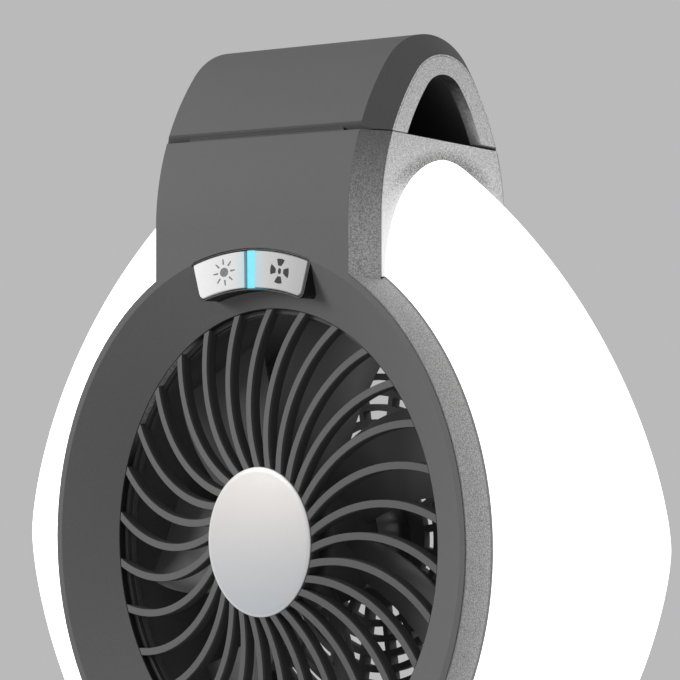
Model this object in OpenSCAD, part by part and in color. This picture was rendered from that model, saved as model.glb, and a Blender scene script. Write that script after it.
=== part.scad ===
// Portable camping fan with a ring lamp, standing on its foot.
// +X is to the right seen from the front, the fan blows towards -Y, +Z is up.
// The origin is on the ground, below the middle of the body.
// "Depth" below is the distance behind the flat front face, towards +Y.

/* [Body] */
// Radius of the round front, where its flat edge starts
ring_r = 80; // [78:0.5:82]
// Height of the fan's axis above the ground
axis_h = 114; // [112:1:118]
// Depth of the whole body, front face to rear face
body_depth = 58.2; // [57:0.2:59]
// Height of the whole fan, ground to the top of the arch
total_h = 248.8; // [247.8:0.2:250]
// Wall thickness of the mouldings
wall = 2.4; // [2:0.1:2.8]
// How far the rim flares outwards behind the front edge
flare = 2.5; // [2.2:0.1:3]
// Depth of the flared rim
flare_depth = 7.4; // [7:0.1:7.6]
// Width of the flat edge round the dish
rim_w = 2; // [1.6:0.1:2]
// Radius of the fan's mouth
mouth_r = 62.3; // [61.7:0.1:62.7]
// Depth of the mouth, at the bottom of the dish
dish_depth = 8.1; // [7.8:0.1:8.5]

/* [Neck, foot and arch] */
// Half width of the flat front of the neck and the foot
face_half = 37.9; // [37:0.1:38.5]
// Half width of the neck and the foot across their side faces
side_half = 44; // [43.5:0.1:44.5]
// Depth of the slanted edges between front and side faces
edge = 5.8; // [5.4:0.1:6.1]
// Height of the front end of the seam under the arch, above the fan's axis
seam_up = 108.5; // [108.2:0.1:109]
// Fall of the seam towards the rear, per unit of depth
seam_fall = 0.088; // [0.08:0.002:0.094]
// Radius of the top of the arch
crown_r = 18.7; // [18:0.1:19.5]
// Thickness of the arch between its outside and the grip opening
arch_band = 11.1; // [10.8:0.1:11.5]
// Height of the slanted relief in front of the hinge
relief_h = 2.2; // [2.1:0.1:2.4]
// Largest opening angle of the arch
arch_open = 40; // [30:1:40]

/* [Lamp] */
// How far the diffuser bulges out beyond its lip
bulge = 36.6; // [33:0.2:38]
// Roundness of the diffuser seen from the front, where 2 is a circle
lamp_n = 1.51; // [1.45:0.01:1.7]
// Roundness of the diffuser's section, where 2 is an ellipse
section_n = 1.83; // [1.75:0.01:2.1]
// Wall thickness of the diffuser
lamp_wall = 2.2; // [1.8:0.1:2.6]
// Number of light emitting diodes round the duct
led_count = 24; // [12:1:30]

/* [Front grille] */
// Number of spiral vanes
vane_count = 30; // [24:1:30]
// Width of a vane seen from the front
vane_w = 1.95; // [1.6:0.05:2.1]
// Radius of the arc that each vane follows
vane_arc_r = 42.2; // [40:0.2:46]
// Thickness of the grille
grille_t = 3.2; // [2.8:0.1:3.2]
// Radius of the hub in the middle of the grille
hub_r = 19.8; // [19:0.1:21]
// Depth of the grille's front at the hub
hub_depth = 3.6; // [3.2:0.1:4.4]

/* [Fan] */
// Number of blades
blade_count = 7; // [5:1:9]
// Radius at the tips of the blades
blade_r = 59.5; // [56:0.5:60]
// Radius of the impeller's hub
impeller_hub_r = 17.5; // [16:0.5:18]
// Slope of a blade at the hub, against the plane of rotation
root_slope = 40; // [34:1:44]
// Slope of a blade at its tip
tip_slope = 23; // [20:1:28]
// Radius of the motor
motor_r = 13.8; // [12:0.1:14]
// Diameter of the motor's shaft
shaft_d = 3; // [2.4:0.1:3.4]

/* [Keys] */
// Inner radius of the keys, from the fan's axis
key_in = 67.8; // [67.4:0.1:68.2]
// Outer radius of the keys
key_out = 77.7; // [77.3:0.1:77.8]
// Half angle that the two keys span
key_half_angle = 17; // [16:0.1:17.2]
// Width of the black edge round the keys
pod_rim = 0.4; // [0.3:0.1:0.4]
// Travel of a key
key_travel = 1; // [0.6:0.1:1]
// Width of the lit bar between the keys
bar_w = 3.2; // [2.8:0.1:3.6]

/* [Hidden] */
$fn = 96;

half_depth = body_depth / 2;
rim_r = ring_r + flare;
play = 0.15;

// the arch: two side arcs that meet a smaller crown arc, where the centres
// of crown and side arc lie 3 units apart in height, 4 in depth and 5 in all
arc_unit = half_depth - crown_r;
side_arc_y = 4 * arc_unit;
side_arc_r = half_depth + side_arc_y;
crown_z = total_h - crown_r;
spring_z = crown_z - 3 * arc_unit;
spring_up = spring_z - axis_h;
aim = [200, 150];
seam_z = axis_h + seam_up;
seam_rise = seam_up - spring_up;
seam_front = side_arc_y - sqrt(side_arc_r ^ 2 - seam_rise ^ 2);
function seam_at(y) = seam_z - seam_fall * (y - seam_front);
rear_gap = 0.9;

// the hinge of the arch, just behind the front of the seam
hinge_y = seam_front + 3;
hinge_z = seam_z + 0.8;
barrel_r = 1.2;
barrel_half = 21.7;
knuckle_r = 1;
knuckle_in = 22;
knuckle_out = 30;
hinge_end = knuckle_out + 0.3;
trough_r = 1.65;
pin_r = 0.5;
relief_back = 1.75;
bevel_drop = 0.85;

// the tongue that holds the arch shut
catch_y = 19.6;
catch_t = 1.6;
catch_half = 8;
catch_top = seam_at(catch_y) + 7.9;

// depths of the parts in the fan's mouth
duct_front = dish_depth + grille_t;
duct_back = body_depth - duct_front;
duct_wall = 2;
shoulder = 1.5;

// the foot
foot_lift = 1.5;
pad_r = 6;
pad_x = 30;
pad_y = 14;

// the cells in the neck
cell_r = 9.1;
cell_len = 65;
cell_up = 92.6;
cell_gap = 0.4;

// the boards
board_depth = 11.5;
board_t = 1.6;
board_half = 29;
board_top = 80.2;
post_r = 2.5;
post_x = 26;
post_up = 68.5;
charge_depth = body_depth - 6.2;
port_up = 86.6;
port_r = 1.65;
port_half = 4.5;

// the screws that hold the two halves together
screw_x = 33.2;
neck_screw = 76.9;
foot_screw = -93;
screw_r = 1.4;
boss_r = 3;
boss_end = 34;
head_r = 2.8;
head_t = 1.8;

plastic = "#69696b";
pale_plastic = "#adadaf";
dark_plastic = "#2b2b2d";

// a front view, drawn from depth d0 back to depth d1
module slab(d0, d1) {
    translate([0, d1 - half_depth, axis_h])
        rotate([90, 0, 0])
            linear_extrude(d1 - d0)
                children();
}

// a section of [radius, depth] points turned round the fan's axis
module spun(points) {
    translate([0, -half_depth, axis_h])
        rotate([90, 0, 0])
            rotate_extrude()
                polygon([for (p = points) [p[0], -p[1]]]);
}

// a side view in Y and Z, drawn from x0 to x1
module side_slab(x0, x1) {
    translate([x0, 0, 0])
        rotate([90, 0, 90])
            linear_extrude(x1 - x0)
                children();
}

// a rod along X
module rod_x(r, x0, x1, y, z) {
    translate([x0, y, z])
        rotate([0, 90, 0])
            cylinder(r = r, h = x1 - x0);
}

// a rod along Y between two depths, up from the fan's axis
module rod_y(r, d0, d1, x, up) {
    translate([x, d1 - half_depth, axis_h + up])
        rotate([90, 0, 0])
            cylinder(r = r, h = d1 - d0);
}

// a block between two corners
module block(low, high) {
    translate(low)
        cube(high - low);
}

module both_sides() {
    children();
    mirror([1, 0, 0])
        children();
}

// at each of the four screws that hold the two halves together
module at_screws() {
    both_sides()
        for (up = [neck_screw, foot_screw])
            translate([screw_x, 0, up])
                children();
}

// front to rear, for what the two halves share
module flip() {
    mirror([0, 1, 0])
        children();
}

// part of a ring between two radii, between two angles from the top
module sector(r0, r1, a0, a1) {
    reach = r1 * 1.2;
    mid = (a0 + a1) / 2;
    intersection() {
        difference() {
            circle(r = r1);
            circle(r = r0);
        }
        polygon([[0, 0], [reach * sin(a0), reach * cos(a0)],
            [reach * 1.1 * sin(mid), reach * 1.1 * cos(mid)],
            [reach * sin(a1), reach * cos(a1)]]);
    }
}

function polar(r, a) = [r * sin(a), r * cos(a)];

// cuts one corner of a sector round: side is 1 where the sector lies at larger
// angles, rise is 1 where it lies at larger radii
module corner(r, a, side, rise, soft) {
    mid_r = r + rise * soft;
    mid_a = a + side * asin(soft / mid_r);
    p = polar(mid_r, mid_a);
    u = (polar(sqrt(mid_r ^ 2 - soft ^ 2), a) - p) / soft;
    v = (polar(r, mid_a) - p) / soft;
    for (t = [22.5, 45, 67.5])
        let (n = cos(t) * u + sin(t) * v, m = [-n[1], n[0]])
        polygon([p + soft * (n - m), p + soft * (n + m),
            p + soft * (3 * n + m), p + soft * (3 * n - m)]);
}

// a sector with round corners, given as [radius at r0, radius at r1] at a0 and at a1
module soft_sector(r0, r1, a0, a1, soft0, soft1) {
    difference() {
        sector(r0, r1, a0, a1);
        corner(r0, a0, 1, 1, soft0[0]);
        corner(r1, a0, 1, -1, soft0[1]);
        corner(r0, a1, -1, 1, soft1[0]);
        corner(r1, a1, -1, -1, soft1[1]);
    }
}

// side views of all that lies below the seam and above it; way is -1 in a half
// that is turned front to rear afterwards
module below_seam(gap, way = 1) {
    polygon([[-60, 0], [60, 0], [60, seam_at(60 * way) - gap], [-60, seam_at(-60 * way) - gap]]);
}

module above_seam(gap) {
    polygon([[-60, total_h + 9], [60, total_h + 9],
        [60, seam_at(60) + gap], [-60, seam_at(-60) + gap]]);
}

// a disc on edge, as wide as the arch, with slanted rims
module arch_disc(r, y, z, inset) {
    half = face_half - 0.4 * inset;
    out = side_half - face_half - 0.6 * inset;
    translate([0, y, z])
        rotate([0, 90, 0])
            rotate_extrude()
                polygon([[0, -half - out], [r - inset - edge, -half - out],
                    [r - inset, -half], [r - inset, half],
                    [r - inset - edge, half + out], [0, half + out]]);
}

// the plan of the neck and the foot, with its slanted corners
module plan(inset) {
    f = face_half - 0.4 * inset;
    s = side_half - inset;
    d = half_depth - inset;
    e = edge;
    polygon([[-f, -d], [f, -d], [s, e - d], [s, d - e],
        [f, d], [-f, d], [-s, d - e], [-s, e - d]]);
}

// the arch's side view, drawn in by inset
module arch_side(inset) {
    r1 = side_arc_r - inset;
    r2 = crown_r - inset;
    top = crown_z + 90;
    intersection() {
        translate([side_arc_y, spring_z])
            circle(r = r1);
        translate([-side_arc_y, spring_z])
            circle(r = r1);
        polygon([[-60, spring_z - 0.01], [60, spring_z - 0.01],
            [aim[0], crown_z + aim[1]], [0, crown_z], [-aim[0], crown_z + aim[1]]]);
    }
    intersection() {
        translate([0, crown_z])
            circle(r = r2);
        polygon([[0, crown_z], [aim[0], crown_z + aim[1]], [0, top],
            [-aim[0], crown_z + aim[1]]]);
    }
    translate([inset - half_depth, axis_h])
        square([body_depth - 2 * inset, spring_up]);
}

// the solid arch and neck above the fan's axis, drawn in by inset
module column(inset) {
    wide = side_half + 2;
    intersection() {
        arch_disc(side_arc_r, side_arc_y, spring_z, inset);
        arch_disc(side_arc_r, -side_arc_y, spring_z, inset);
        side_slab(-wide, wide)
            polygon([[-60, spring_z], [60, spring_z],
                [aim[0], crown_z + aim[1]], [0, crown_z], [-aim[0], crown_z + aim[1]]]);
    }
    intersection() {
        arch_disc(crown_r, 0, crown_z, inset);
        side_slab(-wide, wide)
            polygon([[0, crown_z], [aim[0], crown_z + aim[1]], [0, crown_z + 90],
                [-aim[0], crown_z + aim[1]]]);
    }
    translate([0, 0, axis_h])
        linear_extrude(spring_up)
            plan(inset);
}

// the solid foot below the fan's axis
module foot(inset, bottom) {
    translate([0, 0, bottom])
        linear_extrude(axis_h - bottom)
            plan(inset);
}

// front face of the neck and the foot, as a hollow moulding open to the ring
module face_plates(way) {
    far = side_half + 1;
    intersection() {
        union() {
            difference() {
                column(0);
                column(wall);
                side_slab(-far, far)
                    arch_side(edge);
            }
            difference() {
                foot(0, foot_lift);
                foot(wall, foot_lift - 1);
                side_slab(-far, far)
                    translate([edge - half_depth, -1])
                        square([body_depth - 2 * edge, axis_h + 1]);
            }
        }
        side_slab(-far, far)
            intersection() {
                below_seam(play, way);
                translate([-half_depth - 1, 0])
                    square([half_depth + 1, total_h]);
            }
        slab(-1, body_depth)
            difference() {
                square(400, center = true);
                circle(r = ring_r - wall / 2);
            }
    }
}

// half of the housing: the dish with its mouth, and the plates above and below
module half_housing(way) {
    dish_r = ring_r - rim_w;
    slope = dish_depth / (dish_r - mouth_r);
    back = wall * sqrt(1 + slope ^ 2);
    lip = mouth_r + wall;
    inner = ring_r - wall;
    spun([[ring_r, 0], [dish_r, 0], [mouth_r, dish_depth], [mouth_r, duct_front],
        [lip, duct_front], [lip, dish_depth + back - slope * wall],
        [inner, back + slope * (dish_r - inner)], [inner, flare_depth], [ring_r, flare_depth]]);
    face_plates(way);
}

// outline round both keys, wider than they are by gap
module key_outline(gap) {
    a = key_half_angle + gap / key_mid * 180 / PI;
    soft = [key_soft + gap, 0.5 + gap];
    soft_sector(key_in - gap, key_out + gap, -a, a, soft, soft);
}

module front_bezel() {
    color(plastic)
        difference() {
            union() {
                half_housing(1);
                at_screws()
                    rod_y(boss_r, wall - 0.4, boss_end, 0, 0);
                both_sides()
                    rod_y(post_r, 3.75, board_depth, post_x, post_up);
            }
            slab(-1, board_depth)
                key_outline(key_gap + pod_rim + 0.1);
            at_screws()
                rod_y(screw_r, boss_end - 12, boss_end + 1, 0, 0);
            trough();
        }
}

// room for the hinge in the top of the neck
module trough() {
    rod_x(trough_r, -hinge_end, hinge_end, hinge_y, hinge_z);
}

module rear_cover() {
    color(plastic)
        difference() {
            union() {
                flip()
                    half_housing(-1);
                at_screws()
                    rod_y(boss_r, boss_end, body_depth - wall + 0.4, 0, 0);
                both_sides()
                    rod_y(1.5, charge_depth, body_depth - wall + 0.4, 6.6, port_up);
            }
            at_screws() {
                rod_y(screw_r + 0.3, boss_end - 1, body_depth, 0, 0);
                rod_y(head_r + 0.3, body_depth - head_t - 0.2, body_depth + 1, 0, 0);
            }
            port_shape(body_depth - wall - 1, body_depth + 1, 0.15);
        }
}

// the pale band that flares out behind the front edge, with its hidden flange
module band() {
    back = flare_depth + 2;
    flange_r = ring_r - 1.2;
    difference() {
        spun([[ring_r + 0.05, 0.05], [rim_r, flare_depth], [rim_r, back],
            [flange_r, back], [flange_r, flare_depth], [ring_r + 0.05, flare_depth]]);
        difference() {
            union() {
                column(-0.05);
                foot(-0.05, 0);
            }
            slab(-1, body_depth)
                circle(r = ring_r + 0.05);
        }
    }
}

module rim_band_front() {
    color(pale_plastic)
        band();
}

module rim_band_rear() {
    color(pale_plastic)
        flip()
            band();
}

// side wall of the neck: the diffuser's end rests against it
module neck_cheek() {
    low = sqrt(rim_r ^ 2 - side_half ^ 2);
    side_slab(side_half - wall, side_half) {
        intersection() {
            arch_side(edge + 0.25);
            translate([-half_depth, axis_h + low])
                square([body_depth, seam_up]);
            below_seam(play);
        }
        translate([flare_depth + 2.2 - half_depth, axis_h + low - 12])
            square([body_depth - 2 * (flare_depth + 2.2), 13]);
    }
}

module foot_cheek() {
    low = sqrt(rim_r ^ 2 - side_half ^ 2);
    side_slab(side_half - wall, side_half) {
        translate([edge - half_depth, foot_lift])
            square([body_depth - 2 * edge, axis_h - low - foot_lift]);
        translate([flare_depth + 2.2 - half_depth, axis_h - low - 1])
            square([body_depth - 2 * (flare_depth + 2.2), 13]);
    }
}

module neck_cheek_left() {
    color(pale_plastic)
        mirror([1, 0, 0])
            neck_cheek();
}

module neck_cheek_right() {
    color(pale_plastic)
        neck_cheek();
}

module foot_cheek_left() {
    color(pale_plastic)
        mirror([1, 0, 0])
            foot_cheek();
}

module foot_cheek_right() {
    color(pale_plastic)
        foot_cheek();
}

// lid of the neck, with the fixed knuckles of the hinge and the catch's slot
module neck_top() {
    far = side_half + 1;
    color(plastic)
        difference() {
            union() {
                difference() {
                    intersection() {
                        column(wall + 0.05);
                        side_slab(-far, far)
                            difference() {
                                below_seam(play);
                                below_seam(play + wall);
                            }
                    }
                    trough();
                }
                both_sides() {
                    rod_x(knuckle_r, knuckle_in, knuckle_out, hinge_y, hinge_z);
                    block([knuckle_in, hinge_y + 0.2, seam_z - wall],
                        [knuckle_out, hinge_y + 1.8, hinge_z]);
                }
            }
            rod_x(pin_r + 0.02, -knuckle_out - 1, knuckle_out + 1, hinge_y, hinge_z);
            block([-catch_half - 1, catch_y - 1.2, seam_at(catch_y) - wall - 2],
                [catch_half + 1, catch_y + catch_t + 1, seam_z]);
        }
}

module base_plate() {
    color(plastic)
        difference() {
            translate([0, 0, foot_lift])
                linear_extrude(wall)
                    plan(wall + 0.05);
            for (x = [-pad_x, pad_x], y = [-pad_y, pad_y])
                translate([x, y, foot_lift - 1])
                    cylinder(r = pad_r + 0.1, h = 2.2);
        }
}

module rubber_feet() {
    color(dark_plastic)
        for (x = [-pad_x, pad_x], y = [-pad_y, pad_y])
            translate([x, y, 0])
                rotate_extrude()
                    polygon([[0, 0], [pad_r - 0.6, 0], [pad_r, 0.6],
                        [pad_r, foot_lift + 1.2], [0, foot_lift + 1.2]]);
}

lamp_half = half_depth - flare_depth;
lamp_lip = rim_r + 0.2;
lamp_sections = 16;
lamp_steps = 26;

// across the diffuser, from its front lip over the crown to its rear lip
function swell(q) = abs(cos(q)) ^ (2 / section_n);
function aside(q, half) = sign(sin(q)) * half * abs(sin(q)) ^ (2 / section_n);

// round the diffuser at one station: from the foot's side to the neck's side
function lamp_point(q, t, high, half) =
    let (s = swell(q),
        reach = lamp_lip + high * s,
        n = 2 + (lamp_n - 2) * s,
        limit = acos((side_half / reach) ^ (n / 2)),
        a = limit * t)
    [reach * cos(a) ^ (2 / n), aside(q, half),
        axis_h + sign(sin(a)) * reach * abs(sin(a)) ^ (2 / n)];

module diffuser() {
    outer = [for (k = [0:lamp_sections]) -90 + 180 * k / lamp_sections];
    inner = [for (k = [0:lamp_sections]) 90 - 180 * k / lamp_sections];
    loop = 2 * (lamp_sections + 1);
    points = [for (i = [0:lamp_steps])
        let (t = 2 * i / lamp_steps - 1)
        each concat(
            [for (q = outer) lamp_point(q, t, bulge, lamp_half)],
            [for (q = inner) lamp_point(q, t, bulge - lamp_wall, lamp_half - lamp_wall)])];
    skins = [for (i = [0:lamp_steps - 1], k = [0:loop - 1])
        let (a = i * loop + k, b = i * loop + (k + 1) % loop)
        each [[a, b + loop, b], [a, a + loop, b + loop]]];
    last = lamp_steps * loop;
    ends = [for (k = [0:lamp_sections - 1])
        let (a = k, b = k + 1, c = loop - 2 - k, d = loop - 1 - k)
        each [[a, b, c], [a, c, d],
            [last + a, last + c, last + b], [last + a, last + d, last + c]]];
    polyhedron(points, concat(skins, ends), convexity = 6);
}

module diffuser_right() {
    color("white")
        diffuser();
}

module diffuser_left() {
    color("white")
        mirror([1, 0, 0])
            diffuser();
}

module fan_duct() {
    out = mouth_r + duct_wall;
    seat = mouth_r - shoulder;
    color(dark_plastic)
        spun([[seat, duct_front], [out, duct_front], [out, duct_back],
            [seat, duct_back], [seat, duct_back - shoulder],
            [mouth_r, duct_back - 2 * shoulder], [mouth_r, duct_front + 2 * shoulder],
            [seat, duct_front + shoulder]]);
}

strip_r = mouth_r + duct_wall + 0.02;
strip_t = 0.8;
strip_half = 5;

module led_strip() {
    color("#e9e9e2")
        spun([[strip_r, half_depth - strip_half], [strip_r + strip_t, half_depth - strip_half],
            [strip_r + strip_t, half_depth + strip_half], [strip_r, half_depth + strip_half]]);
}

module led_chips() {
    color("#f4e9a8")
        for (k = [0:led_count - 1])
            translate([0, 0, axis_h])
                rotate([0, (k + 0.5) * 360 / led_count, 0])
                    block([strip_r + strip_t, -1.75, -1.4],
                        [strip_r + strip_t + 1, 1.75, 1.4]);
}

// one spiral vane: an arc that leaves the hub and ends at the mouth
module vane() {
    chord = mouth_r - hub_r;
    mid = (mouth_r + hub_r) / 2;
    bow = sqrt(vane_arc_r ^ 2 - (chord / 2) ^ 2);
    lean = 1.6;
    span = asin(chord / 2 / vane_arc_r) + 6;
    translate([bow - lean / 2, mid])
        rotate([0, 0, 180 - span + 1.2])
            intersection() {
                difference() {
                    circle(r = vane_arc_r + vane_w / 2, $fn = 144);
                    circle(r = vane_arc_r - vane_w / 2, $fn = 144);
                }
                polygon([[0, 0], [90, 0], [90 * cos(span), 90 * sin(span)],
                    [90 * cos(2 * span), 90 * sin(2 * span)]]);
            }
}

module front_grille() {
    out = mouth_r - 0.05;
    color(plastic)
        intersection() {
            union() {
                slab(0, 20)
                    for (k = [0:vane_count - 1])
                        rotate([0, 0, k * 360 / vane_count])
                            vane();
                spun([[0, 0], [hub_r + 0.3, 0], [hub_r + 0.3, 20], [0, 20]]);
                spun([[out - 1.2, duct_front - 1.4], [out + 1, duct_front - 1.4],
                    [out + 1, 20], [out - 1.2, 20]]);
            }
            spun([[0, hub_depth + 0.8], [hub_r - 0.8, hub_depth + 0.8], [hub_r - 0.8, hub_depth],
                [hub_r + 0.3, hub_depth], [out, dish_depth], [out, duct_front],
                [hub_r, hub_depth + grille_t], [0, hub_depth + grille_t]]);
        }
}

module hub_cap() {
    r = hub_r - 0.9;
    rise = 0.9;
    dome = (r ^ 2 + rise ^ 2) / (2 * rise);
    steps = 7;
    color("#e6e3e0")
        spun(concat([[0, hub_depth + 0.8], [r, hub_depth + 0.8]],
            [for (k = [steps:-1:0])
                let (x = r * k / steps)
                [x, hub_depth - rise + dome - sqrt(dome ^ 2 - x ^ 2)]]));
}

module rear_grille() {
    out = mouth_r - 0.05;
    back = body_depth - dish_depth;
    plate_r = 19;
    rib = 1.8;
    rib_count = 20;
    color(plastic)
        difference() {
            union() {
                for (r = [22.5:4.2:58])
                    spun([[r, duct_back], [r + rib, duct_back],
                        [r + rib, back - 0.6], [r + rib - 0.6, back],
                        [r + 0.6, back], [r, back - 0.6]]);
                spun([[out - 2, duct_back], [out, duct_back], [out, back], [out - 2, back]]);
                spun([[0, duct_back], [plate_r, duct_back], [plate_r, back - 1],
                    [plate_r - 1, back], [0, back]]);
                intersection() {
                    slab(duct_back, back - 0.4)
                        for (k = [1:rib_count])
                            rotate([0, 0, (k + 0.5) * 360 / rib_count])
                                translate([plate_r - 1, -rib / 2])
                                    square([out - plate_r, rib]);
                    spun([[0, 0], [out - 0.5, 0], [out - 0.5, body_depth], [0, body_depth]]);
                }
            }
            both_sides()
                rod_y(1.25, duct_back - 1, back + 1, 8, 0);
            rod_y(4, duct_back - 1, duct_back + 1.2, 0, 0);
        }
}

blade_stations = 8;
blade_fine = 6;
blade_depth = 22;

// one blade's section points, closed, in the plane across the radius
function blade_point(f, u, up) =
    let (r = impeller_hub_r - 1.5 + f * (blade_r - impeller_hub_r + 1.5),
        slope = root_slope + (tip_slope - root_slope) * f,
        chord = 17 + 15 * f - 3 * f ^ 4,
        skin = (1.9 - 0.7 * f) / 2 * sqrt(max(0, 1 - 4 * u ^ 2)) + 0.25,
        bend = 0.09 * chord * (1 - 4 * u ^ 2),
        along = chord * u,
        rise = bend + up * skin,
        turn = along * cos(slope) - rise * sin(slope),
        back = along * sin(slope) + rise * cos(slope),
        a = 14 * f ^ 1.5 + turn / r * 180 / PI)
    [r * sin(a), back, r * cos(a)];

module blade() {
    loop = 2 * (blade_fine + 1);
    points = [for (j = [0:blade_stations])
        let (f = j / blade_stations)
        each concat(
            [for (k = [0:blade_fine]) blade_point(f, k / blade_fine - 0.5, 1)],
            [for (k = [0:blade_fine]) blade_point(f, 0.5 - k / blade_fine, -1)])];
    skins = [for (j = [0:blade_stations - 1], k = [0:loop - 1])
        let (a = j * loop + k, b = j * loop + (k + 1) % loop)
        each [[a, b, b + loop], [a, b + loop, a + loop]]];
    last = blade_stations * loop;
    ends = [for (k = [0:blade_fine - 1])
        let (a = k, b = k + 1, c = loop - 2 - k, d = loop - 1 - k)
        each [[a, c, b], [a, d, c],
            [last + a, last + b, last + c], [last + a, last + c, last + d]]];
    polyhedron(points, concat(skins, ends), convexity = 4);
}

module impeller() {
    front = blade_depth - 8.6;
    back = blade_depth + 9;
    skin = 1.8;
    color("#3c3c3f")
        difference() {
            union() {
                translate([0, blade_depth - half_depth, axis_h])
                    for (k = [0:blade_count - 1])
                        rotate([0, k * 360 / blade_count, 0])
                            blade();
                spun([[0, front], [impeller_hub_r - 2.5, front], [impeller_hub_r, front + 2.5],
                    [impeller_hub_r, back], [impeller_hub_r - skin, back],
                    [impeller_hub_r - skin, front + skin + 1], [4, front + skin + 1],
                    [4, front + 8], [0, front + 8]]);
            }
            rod_y(shaft_d / 2, front + skin, front + 9, 0, 0);
            spun([[4, front + skin + 1], [impeller_hub_r - skin, front + skin + 1],
                [impeller_hub_r - skin, back + 9], [4, back + 9]]);
        }
}

module motor_shaft() {
    color("silver")
        rod_y(shaft_d / 2, blade_depth - 6.6, duct_back + 0.8, 0, 0);
}

motor_nose = blade_depth + 0.6;

module motor_housing() {
    nose = motor_nose;
    front = nose + 1.4;
    color("#b9bbbe")
        difference() {
            spun([[0, nose], [4.4, nose], [4.4, front], [motor_r - 1, front],
                [motor_r, front + 1], [motor_r, duct_back], [0, duct_back]]);
            rod_y(2.8, nose - 1, front + 1.6, 0, 0);
            rod_y(2.8, duct_back - 2.4, duct_back + 1, 0, 0);
            rod_y(shaft_d / 2 + 0.3, nose - 1, duct_back + 1, 0, 0);
            both_sides()
                rod_y(1.1, duct_back - 5, duct_back + 1, 8, 0);
        }
}

module motor_bushes() {
    color("#b08d4a")
        for (d = [motor_nose + 0.2, duct_back - 2.3])
            difference() {
                rod_y(2.75, d, d + 2.2, 0, 0);
                rod_y(shaft_d / 2 + 0.04, d - 1, d + 4, 0, 0);
            }
}

module motor_screws() {
    back = body_depth - dish_depth;
    color("silver")
        both_sides() {
            rod_y(1.1, duct_back - 4.5, back + 0.1, 8, 0);
            rod_y(2.2, back, back + 1.3, 8, 0);
        }
}

key_gap = 0.2;
key_soft = 1.9;
key_mid = (key_in + key_out) / 2 + 0.1;
key_angle = 8.9;
switch_w = 5;
bar_angle = (bar_w / 2 + key_gap) / key_mid * 180 / PI;

module key_pod() {
    color(dark_plastic)
        difference() {
            slab(0.3, 9.6)
                key_outline(key_gap + pod_rim);
            slab(-1, 7.6)
                key_outline(key_gap);
            both_sides()
                rod_y(switch_w * 0.76, 0, 12, key_mid * sin(key_angle), key_mid * cos(key_angle));
        }
}

// the right key, with the stub that pushes its switch
module key() {
    slab(0, 4.5)
        soft_sector(key_in, key_out, bar_angle, key_half_angle, [0.4, 0.4], [key_soft, 0.5]);
    rod_y(1.8, 4.4, 7 - key_travel, key_mid * sin(key_angle), key_mid * cos(key_angle));
}

module light_key() {
    color("#e8e8e8")
        mirror([1, 0, 0])
            key();
}

module fan_key() {
    color("#c9c9c9")
        key();
}

module indicator_bar() {
    color("#63eefc")
        slab(0.6, 7.6)
            intersection() {
                sector(key_in - 0.1, key_out + 0.1, -6, 6);
                translate([-bar_w / 2, 0])
                    square([bar_w, 100]);
            }
}

module control_board() {
    w = board_half;
    color("#20603a")
        slab(board_depth, board_depth + board_t)
            polygon([[-w, 64], [-20, 64], [-9, 66.6], [9, 66.6], [20, 64], [w, 64],
                [w, board_top], [-w, board_top]]);
}

module key_switches() {
    color(dark_plastic)
        both_sides() {
            x = key_mid * sin(key_angle);
            up = key_mid * cos(key_angle);
            translate([x, board_depth - 3.4 / 2 - half_depth, axis_h + up])
                cube([switch_w, 3.4, switch_w], center = true);
            rod_y(1.7, board_depth - 4.4, board_depth - 3.3, x, up);
        }
}

module cells(r) {
    for (y = [-cell_r - cell_gap / 2, cell_r + cell_gap / 2])
        rod_x(r, -cell_len / 2, cell_len / 2, y, axis_h + cell_up);
}

module battery_cells() {
    color("#3f7d8c")
        cells(cell_r);
}

module battery_cradle() {
    low = axis_h + cell_up - cell_r;
    reach = 2 * cell_r - 0.4;
    out = side_half - wall;
    color(dark_plastic)
        difference() {
            block([-out, -reach, low - 2.6], [out, reach, low + 5]);
            for (y = [-cell_r - cell_gap / 2, cell_r + cell_gap / 2])
                rod_x(cell_r + 0.03, -cell_len / 2 - 0.3, cell_len / 2 + 0.3, y, axis_h + cell_up);
            block([-cell_len / 2 - 0.3, -cell_gap / 2 - 3, low - 0.01],
                [cell_len / 2 + 0.3, cell_gap / 2 + 3, low + 9]);
        }
}

// outline of the charging socket, between two depths
module port_shape(d0, d1, gap) {
    h = port_r + gap;
    x = port_half - port_r;
    slab(d0, d1)
        translate([0, port_up])
            union() {
                both_sides()
                    translate([x, 0])
                        circle(r = h);
                square([2 * x, 2 * h], center = true);
            }
}

module charging_port() {
    back = body_depth - 0.3;
    color("silver") {
        difference() {
            port_shape(charge_depth, back, 0);
            port_shape(charge_depth + 1, back + 1, -0.3);
        }
        slab(charge_depth + 0.8, back - 1)
            translate([0, port_up])
                square([6.4, 0.7], center = true);
    }
}

module charge_board() {
    color("#20603a")
        slab(charge_depth - 0.8, charge_depth)
            translate([0, port_up])
                square([17, 8], center = true);
}

module housing_screws() {
    color("silver")
        at_screws()
            difference() {
                union() {
                    rod_y(screw_r, boss_end - 10, body_depth - head_t, 0, 0);
                    rod_y(head_r, body_depth - head_t - 0.2, body_depth - 0.4, 0, 0);
                }
                for (turn = [0, 90])
                    translate([0, half_depth - 0.4, axis_h])
                        rotate([0, turn, 0])
                            cube([3.4, 2, 0.7], center = true);
            }
}

// side view of the closed arch, with the relief in front of its hinge
module arch_clip() {
    y0 = seam_front + relief_back;
    polygon([[-60, total_h + 9], [-60, seam_z + relief_h], [seam_front, seam_z + relief_h],
        [y0, seam_at(y0) + play], [0, seam_at(0) + play], [0, seam_at(0) + rear_gap],
        [60, seam_at(60) + rear_gap], [60, total_h + 9]]);
}

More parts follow.
